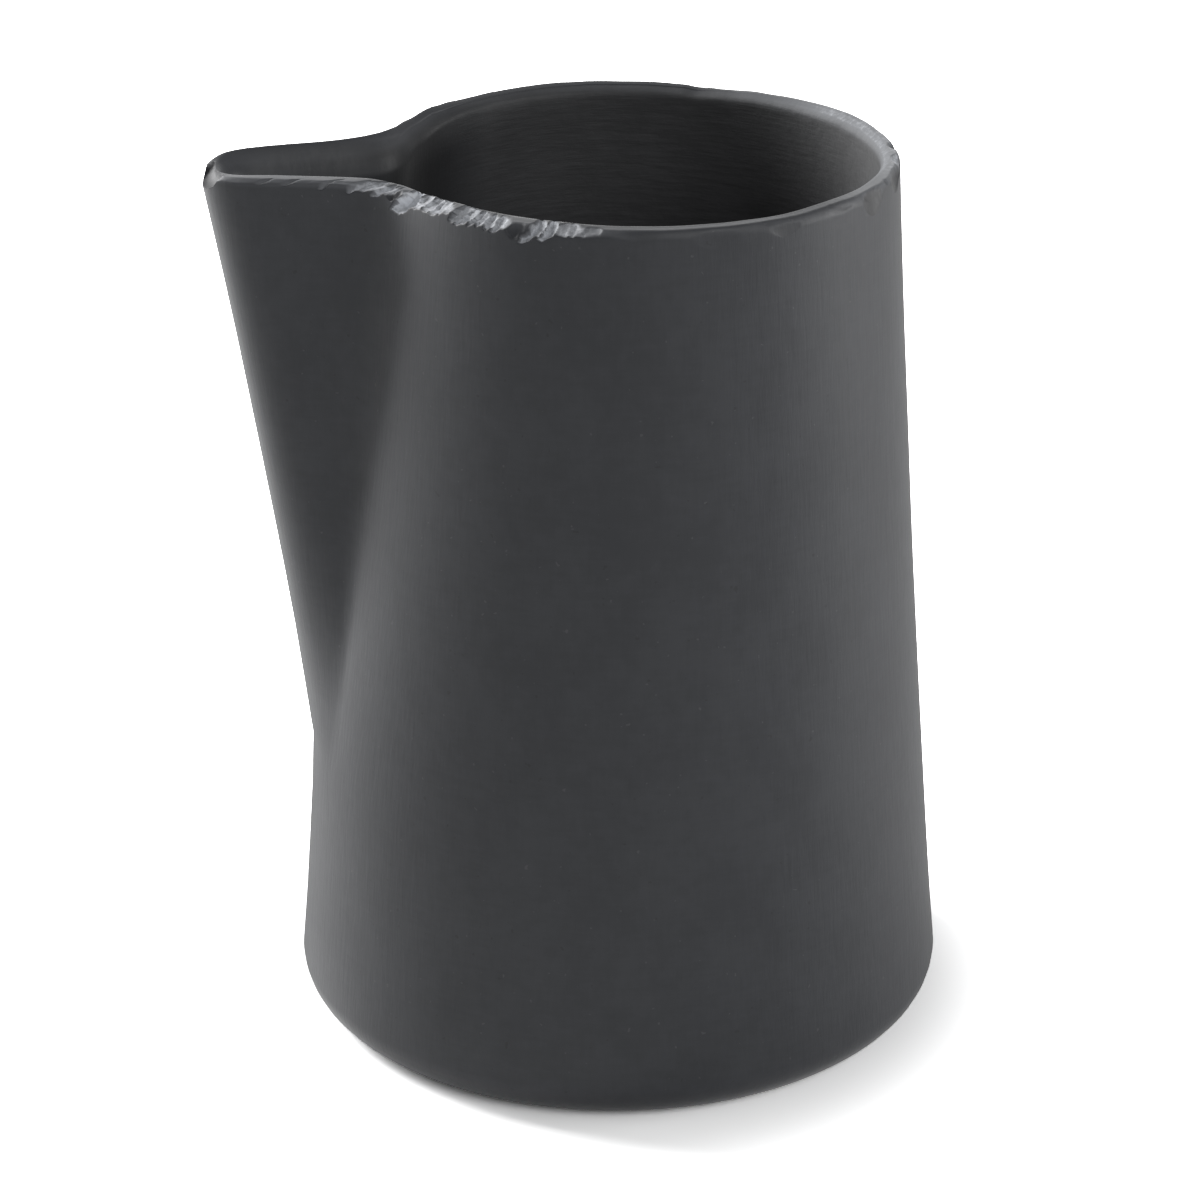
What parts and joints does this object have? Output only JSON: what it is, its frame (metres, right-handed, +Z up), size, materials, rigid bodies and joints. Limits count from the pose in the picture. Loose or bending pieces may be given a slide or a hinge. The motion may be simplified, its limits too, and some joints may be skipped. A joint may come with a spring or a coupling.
{
  "type": "creamer",
  "caption": "Small handleless pouring jug, a tapered round cup with a pinched spout and a hand-split rim, that holds and pours cream or milk.",
  "frame": {"origin": "middle of the box that the jug fills, on the table that its foot ring stands on", "axes": "+Z up along the cup's axis; -X towards the tip of the spout; +Y across the spout"},
  "size_m": [0.0658, 0.0598, 0.0803],
  "materials": {
    "dark_porcelain": "matt, unglazed slate-like porcelain in dark grey, with paler split faces along the rim"
  },
  "bodies": {
    "root": {"jug_body": "dark_porcelain"}
  },
  "joints": []
}
